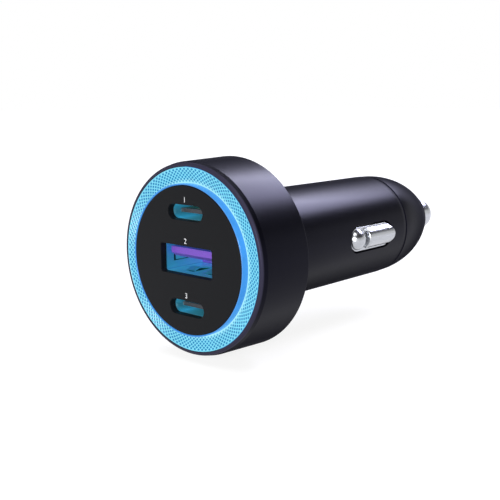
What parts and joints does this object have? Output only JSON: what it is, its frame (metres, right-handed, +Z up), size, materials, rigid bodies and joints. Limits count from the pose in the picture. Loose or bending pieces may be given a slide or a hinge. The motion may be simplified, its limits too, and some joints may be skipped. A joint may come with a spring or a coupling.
{
  "type": "car usb charger plug",
  "caption": "Black car charger plug with a lit blue ring, one wide and two narrow ports, sprung side contacts and a sprung tip.",
  "frame": {"origin": "On the plug's axis at the shoulder, where the back of the head stops against the rim of the car's socket.", "axes": "+Y runs along the barrel from the face to the tip, +Z is up across the row of ports, +X points to one side contact."},
  "size_m": [0.0346, 0.0778, 0.0346],
  "materials": {
    "black_gloss": "gloss black moulded polycarbonate",
    "panel_black": "satin black acrylic",
    "ring_blue": "clear moulded ring lit in blue from behind",
    "reflector_white": "white reflecting plastic",
    "chip_cream": "light chips with a pale lens",
    "board_green": "green solder mask",
    "port_steel": "folded stainless steel",
    "tongue_purple": "purple moulded insulator",
    "tongue_grey": "dark grey moulded insulator",
    "contact_gold": "gold-plated contact",
    "ferrite": "pressed ferrite",
    "can_aluminium": "coated aluminium can",
    "chip_black": "moulded chip body",
    "ceramic_white": "fired ceramic",
    "contact_nickel": "bright nickel plate",
    "spring_steel": "drawn spring steel",
    "contact_brass": "stamped brass"
  },
  "bodies": {
    "housing": {"head_shell": "black_gloss", "barrel_shell": "black_gloss", "nose_cap": "black_gloss", "face_panel": "panel_black", "light_ring": "ring_blue", "reflector_ring": "reflector_white", "light_chips": "chip_cream", "port_board": "board_green", "port_a_shell": "port_steel", "port_a_tongue": "tongue_purple", "port_a_contacts": "contact_gold", "port_c_upper_shell": "port_steel", "port_c_upper_tongue": "tongue_grey", "port_c_upper_contacts": "contact_gold", "port_c_lower_shell": "port_steel", "port_c_lower_tongue": "tongue_grey", "port_c_lower_contacts": "contact_gold", "main_board": "board_green", "inductor_front": "ferrite", "inductor_rear": "ferrite", "input_capacitor": "can_aluminium", "output_capacitor": "can_aluminium", "controller_chips": "chip_black", "fuse_chip": "ceramic_white", "side_spring_left": "spring_steel", "side_spring_right": "spring_steel", "spring_seat": "contact_brass", "tip_spring": "spring_steel"},
    "tip": {"tip_pin": "contact_nickel"},
    "contact_left": {"side_contact_left": "contact_nickel"},
    "contact_right": {"side_contact_right": "contact_nickel"}
  },
  "joints": [
    {"name": "tip_pin_slide", "type": "slide", "parent": "housing", "child": "tip", "axis": [0, -1, 0], "range_m": [0, 0.003], "stiffness_N_per_m": 1200, "springref_m": -0.003, "deforming": ["tip_spring"]},
    {"name": "side_contact_left_slide", "type": "slide", "parent": "housing", "child": "contact_left", "axis": [1, 0, 0], "range_m": [0, 0.0011], "stiffness_N_per_m": 1500, "springref_m": -0.001, "deforming": ["side_spring_left"]},
    {"name": "side_contact_right_slide", "type": "slide", "parent": "housing", "child": "contact_right", "axis": [-1, 0, 0], "range_m": [0, 0.0011], "stiffness_N_per_m": 1500, "springref_m": -0.001, "deforming": ["side_spring_right"]}
  ]
}
